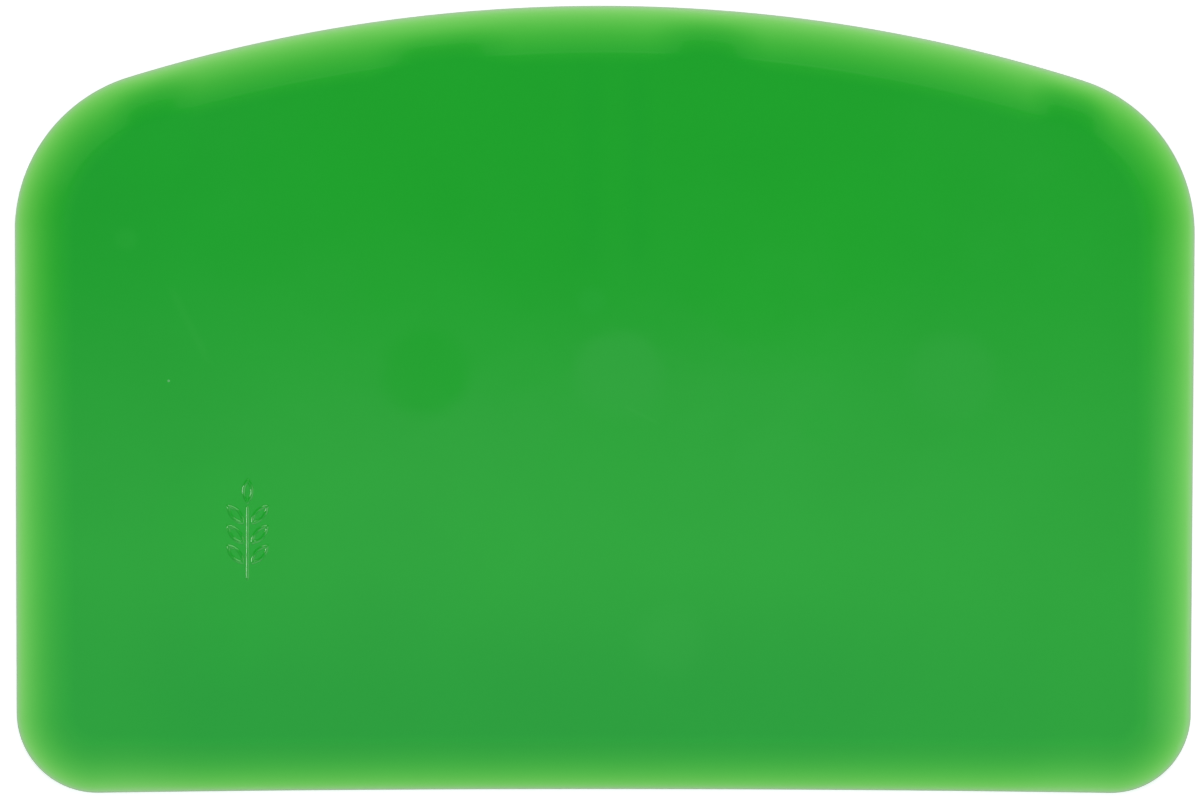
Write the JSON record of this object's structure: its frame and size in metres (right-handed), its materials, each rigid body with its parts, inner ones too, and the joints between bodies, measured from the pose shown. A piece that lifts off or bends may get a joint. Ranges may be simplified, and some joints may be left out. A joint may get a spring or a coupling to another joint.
{
  "type": "bowl scraper",
  "caption": "Flat flexible D-shaped scraper card with a long curved scraping edge, a straight edge, rounded corners and a thin bevelled rim all the way round.",
  "frame": {"origin": "middle of the card's outline, on its flat underside", "axes": "+X along the straight edge, +Y towards the middle of the curved scraping edge, +Z out of the bevelled face"},
  "size_m": [0.147, 0.098, 0.0022],
  "materials": {
    "green_plastic": "moulded translucent green polypropylene, semi-gloss, paler where it thins towards the edge"
  },
  "bodies": {
    "root": {"scraper_blade": "green_plastic"}
  },
  "joints": []
}
